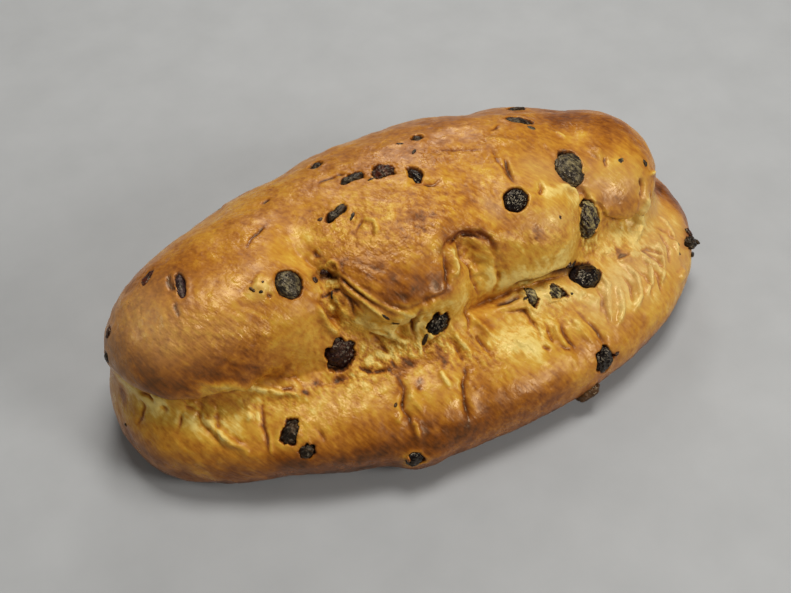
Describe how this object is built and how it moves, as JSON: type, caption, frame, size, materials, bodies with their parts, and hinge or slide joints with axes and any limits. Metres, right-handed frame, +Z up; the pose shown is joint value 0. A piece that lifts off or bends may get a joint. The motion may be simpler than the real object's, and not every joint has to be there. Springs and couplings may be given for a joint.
{
  "type": "stollen",
  "caption": "Oval glazed fruit loaf of yeast dough, folded over with a lower lip along one side, raisins set in its crust.",
  "frame": {"origin": "centre of the bounding box on the plane that the loaf rests on", "axes": "+X along the loaf towards its broad end, -Y towards the side where the lower lip shows, +Z up"},
  "size_m": [0.297, 0.1668, 0.0912],
  "materials": {
    "crust": "glossy egg-glazed golden-brown crust, paler in the folds",
    "raisin": "dark wrinkled skin with a thin glaze"
  },
  "bodies": {
    "root": {"dough": "crust", "raisin_bulge_round": "raisin", "raisin_bulge_slit": "raisin", "raisin_bulge_rear": "raisin", "raisin_end_upper": "raisin", "raisin_end_lower": "raisin", "raisin_fold_left": "raisin", "raisin_fold_middle": "raisin", "raisin_fold_twin_left": "raisin", "raisin_fold_twin_right": "raisin", "raisin_fold_right": "raisin", "raisin_valley_tall": "raisin", "raisin_top_glossy": "raisin", "raisin_top_flat": "raisin", "raisin_crown_long": "raisin", "raisin_crown_pair_left": "raisin", "raisin_crown_pair_right": "raisin", "raisin_crown_upright": "raisin", "raisin_crown_small": "raisin", "raisin_crown_far": "raisin", "raisin_rear_long": "raisin", "raisin_rear_edge": "raisin", "raisin_lip_upper": "raisin", "raisin_lip_lower": "raisin", "raisin_foot_bump": "raisin", "raisin_lip_right": "raisin", "raisin_foot_right": "raisin", "raisin_end_stalk": "raisin", "raisin_back_1": "raisin", "raisin_back_2": "raisin", "raisin_back_3": "raisin", "raisin_back_4": "raisin", "raisin_back_5": "raisin", "raisin_back_6": "raisin", "raisin_back_7": "raisin", "raisin_back_8": "raisin", "raisin_back_9": "raisin"}
  },
  "joints": []
}
